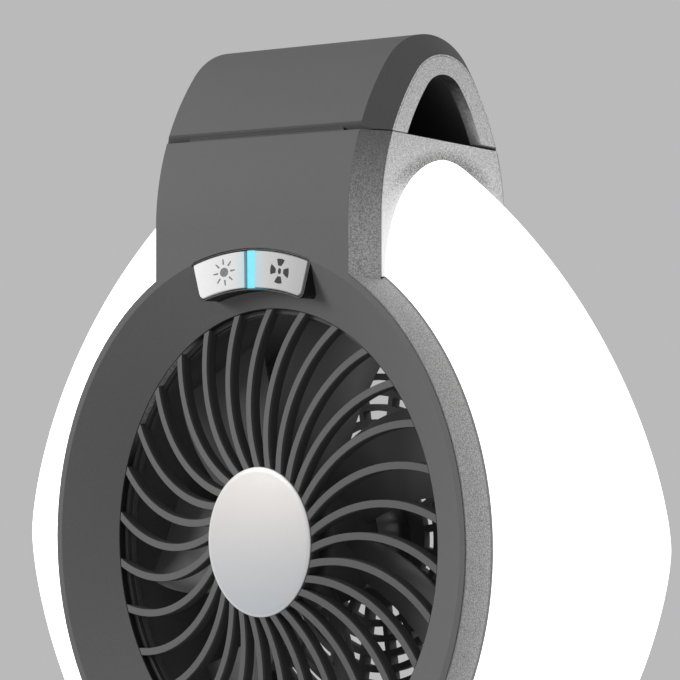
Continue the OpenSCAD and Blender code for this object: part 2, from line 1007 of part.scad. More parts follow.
// the cut under the arch's front that lies level, just above the neck, when the
// arch stands open; the lip round the barrel stays, since it turns in the trough
module open_bevel(far) {
    difference() {
        side_slab(-far, far)
            translate([hinge_y, hinge_z])
                rotate([0, 0, -arch_open])
                    translate([-5, -bevel_drop - 2])
                        square([5.7, 2]);
        rod_x(trough_r - 0.15, -hinge_end, hinge_end, hinge_y, hinge_z);
    }
}

// the space inside the arch, closed in front and open at the foot of its rear leg
module arch_hollow() {
    skin = 2.5;
    far = side_half - cap_t - 5;
    side_slab(-far, far)
        intersection() {
            difference() {
                arch_side(skin);
                arch_side(arch_band - skin);
            }
            union() {
                above_seam(3.4);
                translate([0, axis_h])
                    square([60, seam_up]);
            }
        }
}

module handle_arch() {
    far = side_half + 1;
    color(plastic)
        difference() {
            union() {
                intersection() {
                    column(0);
                    side_slab(-far, far)
                        arch_clip();
                }
                rod_x(barrel_r, -barrel_half, barrel_half, hinge_y, hinge_z);
            }
            side_slab(-far, far)
                arch_side(arch_band);
            difference() {
                arch_hollow();
                block([-catch_half - 2, 0, 0], [catch_half + 2, 60, catch_top + 2]);
            }
            open_bevel(far);
            both_sides() {
                side_slab(side_half - cap_t - 0.1, far)
                    arch_side(edge + 0.4);
                rod_x(knuckle_r + 0.25, knuckle_in - 0.3, hinge_end, hinge_y, hinge_z);
                block([knuckle_in - 0.3, hinge_y - 1, seam_z - 5],
                    [hinge_end, hinge_y + 2.05, hinge_z]);
            }
            rod_x(pin_r + 0.05, -knuckle_in, knuckle_in, hinge_y, hinge_z);
            block([-catch_half - 0.1, catch_y - 0.1, seam_z - 9],
                [catch_half + 0.1, catch_y + catch_t + 0.1, catch_top + 0.1]);
        }
}

cap_t = 4;

// pale end piece of the arch, with the grip opening through it
module handle_cap() {
    side_slab(side_half - cap_t, side_half)
        difference() {
            intersection() {
                arch_side(edge + 0.5);
                arch_clip();
            }
            arch_side(arch_band);
        }
}

module handle_cap_left() {
    color(pale_plastic)
        mirror([1, 0, 0])
            handle_cap();
}

module handle_cap_right() {
    color(pale_plastic)
        handle_cap();
}

// the tongue that snaps into the neck and holds the arch shut
module handle_catch() {
    low = seam_at(catch_y) - 4.6;
    color("silver")
        side_slab(-catch_half, catch_half)
            polygon([[catch_y, catch_top], [catch_y, low], [catch_y + 0.5, low - 0.8],
                [catch_y + catch_t, low], [catch_y + catch_t, catch_top]]);
}

module hinge_pin() {
    color("silver")
        rod_x(pin_r, -knuckle_out, knuckle_out, hinge_y, hinge_z);
}

front_bezel();
rear_cover();
rim_band_front();
rim_band_rear();
neck_cheek_left();
neck_cheek_right();
foot_cheek_left();
foot_cheek_right();
neck_top();
base_plate();
rubber_feet();
diffuser_left();
diffuser_right();
fan_duct();
led_strip();
led_chips();
front_grille();
hub_cap();
rear_grille();
impeller();
motor_shaft();
motor_housing();
motor_bushes();
motor_screws();
key_pod();
light_key();
fan_key();
indicator_bar();
control_board();
key_switches();
battery_cells();
battery_cradle();
charge_board();
charging_port();
housing_screws();
handle_arch();
handle_cap_left();
handle_cap_right();
handle_catch();
hinge_pin();
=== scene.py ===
import math
import bmesh
import bpy
from mathutils import Matrix, Vector


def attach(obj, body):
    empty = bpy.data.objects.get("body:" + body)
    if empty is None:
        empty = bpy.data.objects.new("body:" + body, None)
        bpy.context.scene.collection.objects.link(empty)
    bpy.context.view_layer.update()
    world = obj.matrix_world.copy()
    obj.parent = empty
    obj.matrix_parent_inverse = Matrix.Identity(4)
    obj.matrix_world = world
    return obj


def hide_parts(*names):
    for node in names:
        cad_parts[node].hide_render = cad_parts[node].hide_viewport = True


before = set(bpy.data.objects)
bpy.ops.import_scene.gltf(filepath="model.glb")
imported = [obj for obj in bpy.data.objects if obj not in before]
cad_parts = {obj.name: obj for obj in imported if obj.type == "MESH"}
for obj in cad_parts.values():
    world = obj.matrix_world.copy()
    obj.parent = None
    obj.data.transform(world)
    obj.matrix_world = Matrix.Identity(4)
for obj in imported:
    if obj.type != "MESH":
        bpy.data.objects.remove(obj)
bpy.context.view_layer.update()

mm = 0.001
axisHeight = 114.0  # the fan's axis above the ground
halfDepth = 29.1  # from the middle of the body to its front face
print("frame loaded with", len(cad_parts), "nodes")


# one output socket; sums written with it add their own Math nodes
class Wire:
    def __init__(self, finish, socket):
        self.finish = finish
        self.socket = socket

    def math(self, operation, *others):
        values = dict(enumerate((self,) + others))
        return self.finish.add("ShaderNodeMath", {"operation": operation}, values)

    def __add__(self, other):
        return self.math("ADD", other)

    def __radd__(self, other):
        return self.math("ADD", other)

    def __sub__(self, other):
        return self.math("SUBTRACT", other)

    def __rsub__(self, other):
        return self.finish.add("ShaderNodeMath", {"operation": "SUBTRACT"}, {0: other, 1: self})

    def __mul__(self, other):
        return self.math("MULTIPLY", other)

    def __rmul__(self, other):
        return self.math("MULTIPLY", other)

    def __truediv__(self, other):
        return self.math("DIVIDE", other)

    def __pow__(self, other):
        return self.math("POWER", other)

    def __gt__(self, other):
        return self.math("GREATER_THAN", other)

    def __lt__(self, other):
        return self.math("LESS_THAN", other)

    def __abs__(self):
        return self.math("ABSOLUTE")

    # 0 below the low value, 1 above the high one, smooth between
    def ramp(self, low, high):
        return self.finish.add("ShaderNodeMapRange", {"interpolation_type": "SMOOTHSTEP"},
                               {0: self, 1: low, 2: high, 3: 0.0, 4: 1.0})


# the node tree of one material, or of the world where that is given
class Finish:
    def __init__(self, name, owner=None):
        self.material = owner or bpy.data.materials.new(name)
        self.material.use_nodes = True
        self.tree = self.material.node_tree
        self.tree.nodes.clear()
        self.place = self.add("ShaderNodeTexCoord", out=3)
        self.normal = self.add("ShaderNodeTexCoord", out=1)

    def add(self, kind, settings=None, values=None, out=0):
        node = self.tree.nodes.new(kind)
        for key, value in (settings or {}).items():
            setattr(node, key, value)
        for key, value in (values or {}).items():
            socket = node.inputs[key]
            if isinstance(value, Wire):
                self.tree.links.new(value.socket, socket)
            else:
                socket.default_value = value
        return Wire(self, node.outputs[out]) if node.outputs else None

    def noise(self, perMetre, detail=2.0, rough=0.5, at=None):
        return self.add("ShaderNodeTexNoise", {},
                        {"Vector": at or self.place, "Scale": perMetre, "Detail": detail,
                         "Roughness": rough})

    def mix(self, factor, first, second):
        pair = [c if isinstance(c, Wire) else tuple(c) + (1.0,) for c in (first, second)]
        return self.add("ShaderNodeMix", {"data_type": "RGBA"},
                        {0: factor, 6: pair[0], 7: pair[1]}, out=2)

    # one coordinate, in metres from the middle of the ground
    def axis(self, index, at=None):
        return self.add("ShaderNodeSeparateXYZ", {}, {0: at or self.place}, out=index)

    # one part of the surface's direction, -1 to 1
    def facing(self, index):
        return self.axis(index, self.normal)

    # a grey that varies by the given share with the speckle
    def speckled(self, speck, level, amount):
        base = shade(level)
        return self.mix(speck, [c * (1 - amount) for c in base], [c * (1 + amount) for c in base])

    # distance from the fan's axis, in metres
    def fromAxis(self):
        across = self.axis(0)
        above = self.axis(2) - axisHeight * mm
        return (across * across + above * above) ** 0.5

    def bump(self, height, strength, distance, normal=None):
        values = {"Height": height, "Strength": strength, "Distance": distance}
        if normal:
            values["Normal"] = normal
        return self.add("ShaderNodeBump", {}, values)

    def close(self, values):
        shader = self.add("ShaderNodeBsdfPrincipled", {}, values)
        self.add("ShaderNodeOutputMaterial", {}, {0: shader})
        return self.material


# a grey or colour of the screen, 0 to 255, as the light that it stands for
def shade(value):
    parts = value if isinstance(value, (tuple, list)) else (value,) * 3
    return tuple((p / 255 / 12.92) if p < 11 else ((p / 255 + 0.055) / 1.055) ** 2.4 for p in parts)


# colour and speckle, specks a metre, bump, roughness, radius of rounded edges, highlight
plastic = {
    "dark": {"colour": 104, "speckle": 0.05, "fine": 2600.0, "grain": 0.4,
             "rough": 0.68, "round": 0.25, "gloss": 0.12},
    # pale: the side mouldings' lighter plastic, its grey raised further as painted light where the sides
    # are lit
    "pale": {"colour": 226, "speckle": 0.3, "fine": 4400.0, "grain": 0.8,
             "rough": 0.6, "round": 0.3, "gloss": 0.25},
    # band: the same pale plastic in a darker copy, a painted shade beside the lamp-lit cheeks
    "band": {"colour": 169, "speckle": 0.42, "fine": 4400.0, "grain": 0.8,
             "rough": 0.6, "round": 0.3, "gloss": 0.25},
    "black": {"colour": 34, "speckle": 0.1, "fine": 2600.0, "grain": 0.3,
              "rough": 0.5, "round": 0.2, "gloss": 0.35},
    "duct": {"colour": 104, "speckle": 0.1, "fine": 2600.0, "grain": 0.3,
             "rough": 0.5, "round": 0.2, "gloss": 0.35},
}


def mouldedPlastic(name, kind, *tints):
    f = Finish(name)
    settings = plastic[kind]
    fine = f.noise(settings["fine"], 2.0, 0.6)
    coarse = f.noise(settings["fine"] * 0.45, 3.0, 0.55)
    cloud = f.noise(22.0, 3.0, 0.5)
    speck = (fine * 0.85 + coarse * 0.15).ramp(0.38, 0.62)
    colour = f.speckled(speck, settings["colour"], settings["speckle"])
    shadier = [c * 0.75 for c in shade(settings["colour"])]
    colour = f.mix(cloud.ramp(0.3, 0.7) * 0.08, colour, shadier)
    for tint in tints:
        colour = tint(f, colour, speck)
    edge = f.add("ShaderNodeBevel", {"samples": 4}, {"Radius": settings["round"] * mm})
    skin = f.bump(fine * 0.6 + coarse * 0.4, settings["grain"], 0.12 * mm, edge)
    return f.close({"Base Color": colour, "Roughness": settings["rough"] - 0.12 + speck * 0.16,
                    "Specular IOR Level": settings["gloss"], "Normal": skin})


# the grille's face runs from the hub's rim forwards and outwards to the mouth
grilleFace = {"hubRadius": 20.1, "hubDepth": 3.6, "mouthRadius": 62.25, "mouthDepth": 8.1,
              "shadeFrom": 0.25, "shadeFull": 1.3, "shaded": 80}


# the vanes' sides and everything behind the grille's face fall into shade
def deepTint(f, colour, speck):
    g = grilleFace
    slope = (g["mouthDepth"] - g["hubDepth"]) / (g["mouthRadius"] - g["hubRadius"])
    face = (f.fromAxis() - g["hubRadius"] * mm) * slope + (g["hubDepth"] - halfDepth) * mm
    behind = (f.axis(1) - face).ramp(g["shadeFrom"] * mm, g["shadeFull"] * mm)
    return f.mix(behind, colour, shade(g["shaded"]))


# the reach from the fan's axis and the grey of the mouth wall's painted shade
mouthWallShade = {"radius": 62.5, "colour": 40}


# painted shade: the wall of the mouth, behind the dish, is painted dark grey where it lies in shade
def mouthShadeTint(f, colour, speck):
    return f.mix(f.fromAxis() < mouthWallShade["radius"] * mm, colour, shade(mouthWallShade["colour"]))


# heights of the painted lamp light on the neck's slanted edge are counted from the fan's axis
neckEdgeLampLight = {"low": 20.0, "fade": 76.0, "dark": 119.0, "colour": 182, "speckle": 0.34}


# painted light: towards its lower end, beside the lamp, the neck's slanted edge is painted pale and
# speckled where the lamp's glow lights it
def edgeLampLightTint(f, colour, speck):
    across = abs(f.facing(0))
    slanted = across.ramp(0.45, 0.6) * (1.0 - across.ramp(0.8, 0.95))
    above = f.axis(2) - axisHeight * mm
    upper = above.ramp(neckEdgeLampLight["fade"] * mm, neckEdgeLampLight["dark"] * mm)
    lower = (1.0 - upper) * above.ramp(0.0, neckEdgeLampLight["low"] * mm)
    return f.mix(slanted * lower, colour, f.speckled(speck, neckEdgeLampLight["colour"], neckEdgeLampLight["speckle"]))


# beyond this far to the side and from the fan's axis
sideRim = {"side": 41.0, "fromAxis": 81.0}


# the dark mouldings' rims in the side faces are as pale as the walls beside them, and the walls of the
# gaps there are painted pale too: a painted highlight where the gaps lie in shade
def rimAndGapHighlightTint(f, colour, speck):
    sideways = abs(f.facing(0)) > 0.9
    inward = (f.facing(1) * f.axis(1)) < -0.0005
    there = (abs(f.axis(0)) > sideRim["side"] * mm) * (f.fromAxis() > sideRim["fromAxis"] * mm)
    pale = f.speckled(speck, plastic["pale"]["colour"], plastic["pale"]["speckle"])
    return f.mix(there * sideways.math("MAXIMUM", inward), colour, pale)


# the grip opening: height of its middle and top, how far its dark part reaches sideways, and the greys
# painted as shade on its walls and its end pieces
gripShade = {"middle": 226.0, "top": 242.0, "half": 39.95, "wall": 74, "end": 24}


# 1 on walls that face the middle of the grip opening
def towardsGrip(f):
    upwards = f.facing(2) * (gripShade["middle"] * mm - f.axis(2))
    return (f.facing(1) * f.axis(1) * -1.0 + upwards) > 0.0004


# painted shade: the grip opening's walls are painted dark grey behind its pale end pieces, where the
# opening lies in shade
def gripShadeTint(f, colour, speck):
    inner = (abs(f.axis(0)) < gripShade["half"] * mm) * towardsGrip(f)
    return f.mix(inner, colour, shade(gripShade["wall"]))


# painted shade: the end pieces' inner walls are painted darker towards the top of the opening, where its
# shade deepens
def capShadeTint(f, colour, speck):
    drift = f.noise(500.0, 3.0, 0.7)
    height = (f.axis(2) + drift * 9.0 * mm).ramp(gripShade["middle"] * mm, gripShade["top"] * mm)
    return f.mix(towardsGrip(f) * (height * 0.8 + 0.15), colour, shade(gripShade["end"]))


# where the groove's painted light and shade end, and the greys painted on its roof and its lip
grooveLightAndShade = {"top": 224.6, "back": -20.0, "roof": 116, "lip": 80}


# painted light and shade even out the groove in front of the arch's hinge: its roof, which is in shade,
# is painted lighter, and its lip, which isn't, is painted darker
def grooveLightAndShadeTint(f, colour, speck):
    there = (f.axis(2) < grooveLightAndShade["top"] * mm) * (f.axis(1) < grooveLightAndShade["back"] * mm)
    pair = f.mix(f.facing(2) > -0.3, shade(grooveLightAndShade["roof"]), shade(grooveLightAndShade["lip"]))
    return f.mix(there * (abs(f.facing(0)) < 0.4), colour, pair)


# how far forward the lid's painted shade reaches, and its grey
lidShade = {"front": -19.0, "colour": 34}


# painted shade: the lid is painted black below the grip opening, where shade falls, and keeps the arch's
# grey in the hinge's trough
def lidShadeTint(f, colour, speck):
    return f.mix(f.axis(1) > lidShade["front"] * mm, colour, shade(lidShade["colour"]))


# the lamp's upper end as an ellipse, and the heights above its middle where the painted shadow and the
# painted lamp light on the cheeks lie
crownLightShadow = {"middle": 194.0, "half": 22.0, "high": 21.0, "dark": 86, "darkFrom": 11.0, "darkFull": 19.0,
         "light": 238, "lightTo": 2.0, "lightEnd": 14.0, "front": -15.0, "frontEnd": -8.0}


# a painted shadow of dark specks round the crown of the lamp, and painted lamp light, plainer and
# lighter, near the front edge
def cheekLightAndShadowTint(f, colour, speck):
    y = f.axis(1)
    up = f.axis(2) - crownLightShadow["middle"] * mm
    out = ((y / (crownLightShadow["half"] * mm)) ** 2.0 + (up / (crownLightShadow["high"] * mm)) ** 2.0) ** 0.5
    near = (1.0 - out.ramp(0.98, 1.19)) * up.ramp(crownLightShadow["darkFrom"] * mm, crownLightShadow["darkFull"] * mm)
    ahead = 1.0 - y.ramp(crownLightShadow["front"] * mm, crownLightShadow["frontEnd"] * mm)
    ahead = ahead * (1.0 - up.ramp(crownLightShadow["lightTo"] * mm, crownLightShadow["lightEnd"] * mm))
    colour = f.mix(ahead * 0.8, colour, shade(crownLightShadow["light"]))
    return f.mix(near * (1.0 - speck * 0.7), colour, shade(crownLightShadow["dark"]))


# where the band's painted shadow line starts and is full, and its grey
bandShadowEdge = {"from": 82.22, "full": 82.42, "colour": 90}


# painted shadow: a thin dark line where the band ends at the lamp
def bandShadowLineTint(f, colour, speck):
    line = f.fromAxis().ramp(bandShadowEdge["from"] * mm, bandShadowEdge["full"] * mm)
    return f.mix(line * 0.7, colour, shade(bandShadowEdge["colour"]))


finishes = {
    "darkPlastic": mouldedPlastic("darkPlastic", "dark"),
    "vanePlastic": mouldedPlastic("vanePlastic", "dark", deepTint),
    "archPlastic": mouldedPlastic("archPlastic", "dark", gripShadeTint, grooveLightAndShadeTint, rimAndGapHighlightTint),
    "bezelPlastic": mouldedPlastic("bezelPlastic", "dark", mouthShadeTint, edgeLampLightTint, rimAndGapHighlightTint),
    "lidPlastic": mouldedPlastic("lidPlastic", "dark", lidShadeTint),
    "palePlastic": mouldedPlastic("palePlastic", "pale"),
    "capPlastic": mouldedPlastic("capPlastic", "pale", capShadeTint),
    "cheekPlastic": mouldedPlastic("cheekPlastic", "pale", cheekLightAndShadowTint),
    "bandPlastic": mouldedPlastic("bandPlastic", "band", bandShadowLineTint),
    "ductPlastic": mouldedPlastic("ductPlastic", "duct"),
    "blackPlastic": mouldedPlastic("blackPlastic", "black"),
}
print("moulded plastics ready")

# the glow, and how bright the lip beside the housing stays
lampFinish = {"glow": 1.8, "lip": 0.93, "lipFrom": 20.5, "lipFull": 21.7}


def milkyLamp():
    f = Finish("milkyLamp")
    across = abs(f.axis(1))
    streak = f.noise(60.0, 2.0, 0.5)
    warm = f.mix(streak.ramp(0.35, 0.65), (1.0, 1.0, 0.985), (0.985, 0.992, 1.0))
    rim = across.ramp(lampFinish["lipFrom"] * mm, lampFinish["lipFull"] * mm) * 0.35
    glow = f.mix(rim, warm, (lampFinish["lip"],) * 3)
    skin = f.bump(f.noise(420.0, 2.0, 0.5), 0.06, 0.1 * mm)
    return f.close({"Base Color": f.mix(streak, (0.93, 0.93, 0.92), (0.96, 0.96, 0.95)),
                    "Roughness": 0.28 + streak * 0.1, "Coat Weight": 0.2,
                    "Emission Color": glow, "Emission Strength": lampFinish["glow"],
                    "Normal": skin})


def glossyBlade():
    f = Finish("glossyBlade")
    drift = f.noise(35.0, 3.0, 0.55)
    dust = f.noise(1500.0, 2.0, 0.6).ramp(0.6, 0.75)
    colour = f.mix(drift, shade(96), shade(112))
    colour = f.mix(dust * 0.15, colour, shade(130))
    return f.close({"Base Color": colour, "Roughness": 0.4 + drift * 0.16,
                    "Specular IOR Level": 0.25,
                    "Normal": f.bump(f.noise(240.0), 0.08, 0.1 * mm)})


# the disc is cool below and warm above; painted shade darkens it below and painted light lightens it
# above; it has a light rim
pearlShade = {"low": (190, 194, 199), "high": (222, 217, 214), "from": 92.0, "over": 40.0,
         "rim": 238, "rimFrom": 18.9, "rimFull": 19.6}


def pearlCap():
    f = Finish("pearlCap")
    rim = f.fromAxis().ramp(pearlShade["rimFrom"] * mm, pearlShade["rimFull"] * mm)
    # painted light above, painted shade below
    rise = (f.axis(2) - pearlShade["from"] * mm).ramp(0.0, pearlShade["over"] * mm)
    fleck = f.noise(3200.0, 2.0, 0.7).ramp(0.45, 0.7)
    colour = f.mix(rise, shade(pearlShade["low"]), shade(pearlShade["high"]))
    colour = f.mix(fleck * 0.1, colour, shade(240))
    colour = f.mix(rim * 0.5, colour, shade(pearlShade["rim"]))
    return f.close({"Base Color": colour, "Metallic": fleck * 0.12, "Roughness": 0.42 - fleck * 0.1,
                    "Coat Weight": 0.12, "Coat Roughness": 0.25,
                    "Normal": f.bump(f.noise(2200.0), 0.05, 0.05 * mm)})


# painted shade darkens the keys from left to right over this half width, and painted light in the bar's
# colour lies on them near it
keyShadeAndBarGlow = {"light": 238, "dark": 160, "half": 21.0, "bar": (70, 215, 240), "barReach": 8.0}


def keyPlastic():
    f = Finish("keyLight")
    across = f.axis(0)
    spread = f.noise(70.0, 2.0, 0.5)
    half = keyShadeAndBarGlow["half"] * mm
    # painted shade, darker towards the right
    colour = f.mix((across + half) / (half * 2), shade(keyShadeAndBarGlow["light"]), shade(keyShadeAndBarGlow["dark"]))
    colour = f.mix(spread.ramp(0.4, 0.7) * 0.08, colour, shade(170))
    # painted light: the bar's glow on the keys beside it
    barGlow = (1.0 - abs(across) / (keyShadeAndBarGlow["barReach"] * mm)).math("MAXIMUM", 0.0)
    colour = f.mix(barGlow * barGlow * 0.55, colour, shade(keyShadeAndBarGlow["bar"]))
    edge = f.add("ShaderNodeBevel", {"samples": 4}, {"Radius": 0.3 * mm})
    return f.close({"Base Color": colour, "Roughness": 0.3 + spread * 0.1,
                    "Normal": f.bump(f.noise(1500.0), 0.05, 0.05 * mm, edge)})


def litBar():
    f = Finish("litBar")
    pulse = f.noise(300.0, 2.0, 0.5)
    colour = f.mix(pulse, shade((92, 205, 236)), shade((126, 224, 246)))
    return f.close({"Base Color": colour, "Roughness": 0.4 + pulse * 0.1, "Specular IOR Level": 0.3,
                    "Emission Color": colour, "Emission Strength": 0.3})


def printedInk(name, level):
    f = Finish(name)
    grain = f.noise(2400.0, 2.0, 0.6)
    return f.close({"Base Color": f.mix(grain.ramp(0.35, 0.65), shade(level - 14), shade(level + 14)),
                    "Roughness": 0.55 + grain * 0.1, "Specular IOR Level": 0.15})


def platedMetal(name, level, brass=False):
    f = Finish(name)
    drag = f.add("ShaderNodeMapping", {}, {"Vector": f.place, "Scale": (1.0, 14.0, 1.0)})
    brush = f.noise(700.0, 3.0, 0.6, drag)
    low, high = ((180, 140, 70), (206, 168, 96)) if brass else ((level,) * 3, (level + 24,) * 3)
    return f.close({"Base Color": f.mix(brush, shade(low), shade(high)), "Metallic": 1.0,
                    "Roughness": 0.26 + brush * 0.18,
                    "Normal": f.bump(brush, 0.1, 0.05 * mm)})


def padRubber():
    f = Finish("padRubber")
    grain = f.noise(1400.0, 3.0, 0.6)
    return f.close({"Base Color": f.mix(grain, shade(26), shade(46)), "Roughness": 0.75 + grain * 0.15,
                    "Normal": f.bump(grain, 0.4, 0.15 * mm)})


def lacquer(name, low, high, glow=0.0):
    f = Finish(name)
    spread = f.noise(160.0, 3.0, 0.55)
    colour = f.mix(spread, shade(low), shade(high))
    values = {"Base Color": colour, "Roughness": 0.32 + spread * 0.16,
              "Normal": f.bump(f.noise(900.0), 0.08, 0.05 * mm)}
    if glow:
        values["Emission Color"] = colour
        values["Emission Strength"] = glow
    return f.close(values)


finishes.update({
    "milkyLamp": milkyLamp(),
    "glossyBlade": glossyBlade(),
    "pearlCap": pearlCap(),
    "keyLight": keyPlastic(),
    "litBar": litBar(),
    "sunInk": printedInk("sunInk", 132),
    "fanInk": printedInk("fanInk", 58),
    "plated": platedMetal("plated", 176),
    "bushBrass": platedMetal("bushBrass", 0, brass=True),
    "padRubber": padRubber(),
    "board": lacquer("board", (22, 84, 48), (36, 112, 62)),
    "cellSleeve": lacquer("cellSleeve", (52, 116, 134), (70, 140, 156)),
    "strip": lacquer("strip", 214, 230),
    "diode": lacquer("diode", (238, 222, 160), (250, 240, 196), glow=0.6),
})

nodeFinish = {
    "front_bezel": "bezelPlastic", "rear_cover": "bezelPlastic", "neck_top": "lidPlastic",
    "base_plate": "darkPlastic", "handle_arch": "archPlastic", "rim_band_front": "bandPlastic",
    "rim_band_rear": "bandPlastic", "neck_cheek_left": "cheekPlastic",
    "neck_cheek_right": "cheekPlastic", "foot_cheek_left": "palePlastic",
    "foot_cheek_right": "palePlastic", "handle_cap_left": "capPlastic",
    "handle_cap_right": "capPlastic", "front_grille": "vanePlastic",
    "rear_grille": "darkPlastic", "rubber_feet": "padRubber", "diffuser_left": "milkyLamp",
    "diffuser_right": "milkyLamp", "fan_duct": "ductPlastic", "led_strip": "strip",
    "led_chips": "diode", "hub_cap": "pearlCap", "impeller": "glossyBlade",
    "motor_shaft": "plated", "motor_housing": "plated", "motor_bushes": "bushBrass",
    # the key pod's black stands for the shade on the walls round the keys: a painted shade
    "motor_screws": "plated", "key_pod": "blackPlastic", "light_key": "keyLight",
    "fan_key": "keyLight", "indicator_bar": "litBar", "control_board": "board",
    "key_switches": "blackPlastic", "battery_cells": "cellSleeve",
    "battery_cradle": "blackPlastic", "charge_board": "board", "charging_port": "plated",
    "housing_screws": "plated", "handle_catch": "plated", "hinge_pin": "plated",
}
for name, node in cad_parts.items():
    node.data.materials.clear()
    node.data.materials.append(finishes[nodeFinish[name]])
print("finishes set on the nodes")


def newPiece(name, verts, faces, finish, body, replaced=(), sharp=35.0):
    mesh = bpy.data.meshes.new(name)
    mesh.from_pydata([Vector(v) * mm for v in verts], [], faces)
    shape = bmesh.new()
    shape.from_mesh(mesh)
    bmesh.ops.remove_doubles(shape, verts=shape.verts, dist=1e-6)
    bmesh.ops.recalc_face_normals(shape, faces=shape.faces)
    shape.to_mesh(mesh)
    shape.free()
    mesh.shade_smooth()
    mesh.set_sharp_from_angle(angle=math.radians(sharp))
    piece = bpy.data.objects.new(name, mesh)
    bpy.context.scene.collection.objects.link(piece)
    mesh.materials.append(finishes[finish])
    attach(piece, body)
    if replaced:
        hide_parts(*replaced)
    return piece


# a closed tube of rings, each a list of points, with flat ends
def loft(rings):
    size = len(rings[0])
    verts = [p for ring in rings for p in ring]
    faces = []
    for j in range(len(rings) - 1):
        for k in range(size):
            a, b = j * size + k, j * size + (k + 1) % size
            faces.append((a, b, b + size, a + size))
    faces.append(tuple(reversed(range(size))))
    faces.append(tuple(range((len(rings) - 1) * size, len(rings) * size)))
    return verts, faces


# a profile of (radius, depth) turned round the fan's axis
def lathe(profile, steps=128):
    verts, faces = [], []
    for k in range(steps):
        a = 2 * math.pi * k / steps
        for radius, depth in profile:
            verts.append((radius * math.sin(a), depth - halfDepth, axisHeight + radius * math.cos(a)))
    size = len(profile)
    for k in range(steps):
        for i in range(size - 1):
            a, b = k * size + i, ((k + 1) % steps) * size + i
            faces.append((a, b, b + 1, a + 1))
    return verts, faces


# several closed shapes, each of verts and faces, as one
def gather(shapes):
    verts, faces = [], []
    for more, sides in shapes:
        start = len(verts)
        verts += more
        faces += [tuple(start + i for i in face) for face in sides]
    return verts, faces


# a flat outline in front view, made solid between two depths, with slanted edges
def plate(outline, front, back, chamfer=0.0):
    count = len(outline)
    middle = (sum(p[0] for p in outline) / count, sum(p[1] for p in outline) / count)

    def inset(point, by):
        away = Vector((point[0] - middle[0], point[1] - middle[1]))
        return Vector(point) - away.normalized() * by

    layers = [(front, chamfer), (back, 0.0)]
    if chamfer:
        layers.insert(1, (front + chamfer, 0.0))
    verts = []
    for depth, by in layers:
        for point in outline:
            p = inset(point, by)
            verts.append((p[0], depth - halfDepth, axisHeight + p[1]))
    faces = [tuple(range(count)), tuple(range((len(layers) - 1) * count, len(layers) * count))]
    for j in range(len(layers) - 1):
        for k in range(count):
            a, b = j * count + k, j * count + (k + 1) % count
            faces.append((a, b, b + count, a + count))
    return verts, faces


# the diffusers, swept round the body between the foot's side and the neck's
diffuser = {"lip": 82.7, "bulge": 36.6, "half": 21.7, "round": 1.51, "section": 1.83,
            "wall": 2.2, "side": 44.0, "stations": 112, "across": 48}


# a point at the angle q over the section and the share t, -1 to 1, along the sweep
def lampPoint(q, t, high, half):
    swell = abs(math.cos(q)) ** (2 / diffuser["section"])
    aside = math.copysign(half * abs(math.sin(q)) ** (2 / diffuser["section"]), math.sin(q))
    reach = diffuser["lip"] + high * swell
    power = 2 + (diffuser["round"] - 2) * swell
    limit = math.acos((diffuser["side"] / reach) ** (power / 2))
    a = limit * t
    up = math.copysign(reach * abs(math.sin(a)) ** (2 / power), math.sin(a))
    return reach * abs(math.cos(a)) ** (2 / power), aside, axisHeight + up


def makeDiffuser(side, name, node):
    across, stations = diffuser["across"], diffuser["stations"]
    rings = []
    for i in range(stations + 1):
        t = 2 * i / stations - 1
        ring = []
        for k in range(across + 1):
            q = math.pi * (k / across - 0.5)
            ring.append(lampPoint(q, t, diffuser["bulge"], diffuser["half"]))
        for k in range(across + 1):
            q = math.pi * (0.5 - k / across)
            ring.append(lampPoint(q, t, diffuser["bulge"] - diffuser["wall"],
                                  diffuser["half"] - diffuser["wall"]))
        rings.append([(side * x, y, z) for x, y, z in ring])
    verts, faces = loft(rings)
    faces = faces[:-2]
    size = 2 * (across + 1)
    for base in (0, stations * size):
        for k in range(across):
            faces.append((base + k, base + k + 1, base + size - 2 - k, base + size - 1 - k))
    return newPiece(name, verts, faces, "milkyLamp", "housing", (node,), 50.0)


makeDiffuser(1, "lampShellRight", "diffuser_right")
makeDiffuser(-1, "lampShellLeft", "diffuser_left")
print("diffusers made")

# the impeller: seven twisted blades, which grow wider, thinner and swept towards their tips
blades = {"count": 7, "tip": 59.5, "inside": 16.0, "rootSlope": 40.0, "tipSlope": 23.0,
          "depth": 22.0, "chord": 17, "wider": 15, "tipCut": 3, "thick": 1.9, "thinner": 0.7,
          "edge": 0.25, "camber": 0.09, "sweep": 14, "stations": 26, "across": 14}
# their cup, with a rounded nose; depths are counted from the blades' middle
cup = {"radius": 17.5, "nose": -8.6, "round": 2.6, "skirt": 9.0, "wall": 1.8, "floor": -5.8,
       "boss": 4.0, "bossEnd": -0.6, "bore": 1.5}


# a point at the share f of the radius and u of the chord, on the upper (1) or lower (-1) skin
def bladePoint(f, u, up):
    r = blades["inside"] + f * (blades["tip"] - blades["inside"])
    slope = math.radians(blades["rootSlope"] + (blades["tipSlope"] - blades["rootSlope"]) * f)
    chord = blades["chord"] + blades["wider"] * f - blades["tipCut"] * f ** 4
    swell = 1 - 4 * u * u
    skin = (blades["thick"] - blades["thinner"] * f) / 2 * math.sqrt(max(0.0, swell)) + blades["edge"]
    rise = blades["camber"] * chord * swell + up * skin
    along = chord * u
    turn = along * math.cos(slope) - rise * math.sin(slope)
    back = along * math.sin(slope) + rise * math.cos(slope)
    a = math.radians(blades["sweep"] * f ** 1.5) + turn / r
    return r * math.sin(a), back + blades["depth"] - halfDepth, r * math.cos(a)


